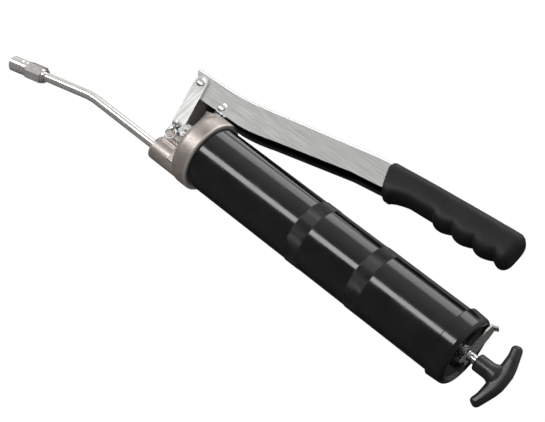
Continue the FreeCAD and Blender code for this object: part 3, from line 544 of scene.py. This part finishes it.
def make_handle():
    """Moulded T-handle: arms that curl forward, blended into a round stem."""
    spine = [(153.2, 28.0, 0.8), (153.3, 27.8, 2.4), (153.6, 26.9, 3.8), (154.2, 25.2, 4.6),
             (155.0, 23.0, 4.7), (156.0, 19.8, 4.9), (156.9, 15.8, 5.5), (157.8, 11.0, 6.3),
             (158.4, 6.0, 6.9), (158.5, 0.0, 7.0)]
    path = [(x, z, r, min(1.05, ARM_HALF / r)) for x, z, r in spine]
    path += [(x, -z, r, depth) for x, z, r, depth in reversed(path[:-1])]
    verts, faces = skin(tube(path))
    stem = [(136.0, 0.0, 6.4, 1.0), (136.8, 0.0, 7.2, 1.0), (148.0, 0.0, 7.2, 1.0),
            (151.0, 0.0, 8.2, 0.88), (154.0, 0.0, 10.0, 0.68), (157.0, 0.0, 11.5, 0.5),
            (160.0, 0.0, 11.0, 0.3)]
    more, extra = skin(tube(stem))
    shift = len(verts)
    verts = list(verts) + list(more)
    faces += [tuple(v + shift for v in face) for face in extra]
    made = piece("handle_moulding", verts, faces, "rod", HANDLE_PLASTIC)
    softened(made, HANDLE_VOXEL, HANDLE_ROUNDS)
    made.data.transform(Matrix.Rotation(HANDLE_TURN, 4, "X"))
    paint(made, HANDLE_PLASTIC)
    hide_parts("t_handle")


# ------------------------------------------------------------------ springs


def make_spring(name, node, body):
    """A copy of the CAD spring, in spring wire, that rides on the body in place of the CAD
    one.
    """
    mesh = nodes[node].data.copy()
    made = bpy.data.objects.new(name, mesh)
    bpy.context.scene.collection.objects.link(made)
    paint(made, SPRING_WIRE)
    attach(made, body)
    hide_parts(node)
    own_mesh(made)


make_spring("feed_coil", "follower_spring", "barrel")
make_spring("check_coil", "check_spring", "head")
make_spring("jaw_coil", "coupler_spring", "head")
make_casting()
make_band("front_knurl", -32.0, 28.34)
make_band("rear_knurl", 32.0, 28.55)
make_grip()
make_handle()


# ------------------------------------------------------------------ stage and light

FLOOR_DROP = 0.62
FLOOR_HALF = 6.0
LOW_LIGHT, HIGH_LIGHT = 0.14, 0.8
LOW_Z, HIGH_Z = -0.35, 0.9
BEHIND = 0.15
BEHIND_START, BEHIND_END = 0.2, 0.8
LIGHT_DISTANCE = 1.5
STRIP_Z = -0.20
STRIP_SIZE, STRIP_POWER = (2.4, 0.36), 24
BOX_SIZE, BOX_POWER = (1.8, 0.8), 12


def make_floor():
    """A wide pale floor, well under the gun."""
    mesh = bpy.data.meshes.new("floor")
    mesh.from_pydata([(-FLOOR_HALF, -FLOOR_HALF, 0), (FLOOR_HALF, -FLOOR_HALF, 0),
                      (FLOOR_HALF, FLOOR_HALF, 0), (-FLOOR_HALF, FLOOR_HALF, 0)],
                     [], [(0, 1, 2, 3)])
    floor = bpy.data.objects.new("floor", mesh)
    bpy.context.scene.collection.objects.link(floor)
    floor.location.z = -FLOOR_DROP
    floor.visible_glossy = False
    pale = Surface("floor_paper", (0.93, 0.93, 0.93), 0.0, 0.9)
    pale.set("Base Color", pale.blend(pale.between(pale.noise(3, 3), 0, 1),
                                      (0.92, 0.92, 0.92), (0.95, 0.95, 0.95)))
    paint(floor, pale.material)


def make_world():
    """A pale backdrop, and for the light a dim studio with a bright ceiling, dimmer behind
    the gun."""
    world = bpy.data.worlds.new("studio")
    world.use_nodes = True
    tree = world.node_tree
    shade = tree.nodes["Background"]
    coords = tree.nodes.new("ShaderNodeTexCoord")
    split = tree.nodes.new("ShaderNodeSeparateXYZ")
    tree.links.new(coords.outputs["Generated"], split.inputs[0])
    level = tree.nodes.new("ShaderNodeMapRange")
    level.interpolation_type = "SMOOTHSTEP"
    for socket, value in (("From Min", LOW_Z), ("From Max", HIGH_Z), ("To Min", LOW_LIGHT),
                          ("To Max", HIGH_LIGHT)):
        level.inputs[socket].default_value = value
    tree.links.new(split.outputs["Z"], level.inputs["Value"])
    path = tree.nodes.new("ShaderNodeLightPath")
    pick = tree.nodes.new("ShaderNodeMix")
    tree.links.new(path.outputs["Is Camera Ray"], pick.inputs["Factor"])
    behind = tree.nodes.new("ShaderNodeMapRange")
    for socket, value in (("From Min", BEHIND_START), ("From Max", BEHIND_END),
                          ("To Min", 1.0), ("To Max", BEHIND)):
        behind.inputs[socket].default_value = value
    tree.links.new(split.outputs["Y"], behind.inputs["Value"])
    dimmed = tree.nodes.new("ShaderNodeMath")
    dimmed.operation = "MULTIPLY"
    tree.links.new(level.outputs[0], dimmed.inputs[0])
    tree.links.new(behind.outputs[0], dimmed.inputs[1])
    tree.links.new(dimmed.outputs[0], pick.inputs["A"])
    pick.inputs["B"].default_value = 1.0
    tree.links.new(pick.outputs["Result"], shade.inputs["Strength"])
    shade.inputs["Color"].default_value = (1, 1, 1, 1)
    bpy.context.scene.world = world


def strip_light(name, place, aim, along, size, power):
    """A softbox that faces a point, with its long side along a direction."""
    data = bpy.data.lights.new(name, "AREA")
    data.shape = "RECTANGLE"
    data.size, data.size_y = size
    data.energy = power
    back = (place - aim).normalized()
    long_side = (along - back * along.dot(back)).normalized()
    turn = Matrix((long_side, back.cross(long_side), back)).transposed()
    light = bpy.data.objects.new(name, data)
    light.visible_camera = False
    light.matrix_world = Matrix.Translation(place) @ turn.to_4x4()
    bpy.context.scene.collection.objects.link(light)


def light_the_gun():
    """A long strip that the barrel mirrors towards the camera, and a softbox above."""
    centre = Vector((-0.05, 0, 0.01))
    axis = Vector((1, 0, 0))
    mirrored = Vector((-BACK.x, BACK.y, 0))
    strip_place = centre + mirrored * LIGHT_DISTANCE + Vector((0, 0, STRIP_Z))
    strip_light("front_strip", strip_place, centre, axis, STRIP_SIZE, STRIP_POWER)
    box_place = centre + Vector((-0.2, -0.35, LIGHT_DISTANCE))
    strip_light("top_box", box_place, centre, axis, BOX_SIZE, BOX_POWER)


make_floor()
make_world()
light_the_gun()

bpy.context.scene.view_settings.view_transform = "Standard"
